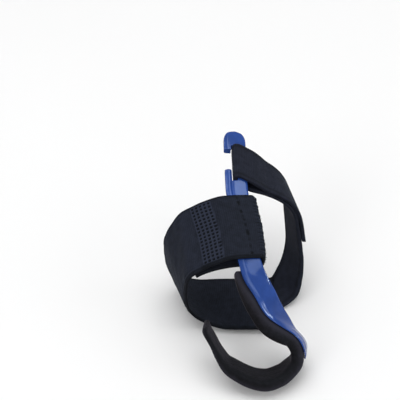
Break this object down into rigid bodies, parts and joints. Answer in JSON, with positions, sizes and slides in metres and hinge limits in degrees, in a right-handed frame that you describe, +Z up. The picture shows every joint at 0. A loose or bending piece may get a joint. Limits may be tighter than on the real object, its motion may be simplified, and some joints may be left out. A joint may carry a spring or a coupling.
{
  "type": "bunion corrector",
  "caption": "Bunion corrector for a left big toe: a blue plastic lever with a black foam toe cradle, a wide instep strap and a narrow strap through the lever's slotted head.",
  "frame": {"origin": "on the instep, at the inner face of the wide strap's under layer, below the centre line of the lever's arm", "axes": "+Z up from the sole, -Y toward the toes along the lever's arm, +X toward the outer side of the foot"},
  "size_m": [0.0734, 0.1143, 0.0753],
  "materials": {
    "blue_plastic": "gloss",
    "black_foam": "matte",
    "loop_fabric": "matte",
    "knit_fabric": "matte"
  },
  "bodies": {
    "root": {"splint": "blue_plastic", "toe_pad": "black_foam", "wide_strap": "loop_fabric", "narrow_strap": "knit_fabric"}
  },
  "joints": []
}
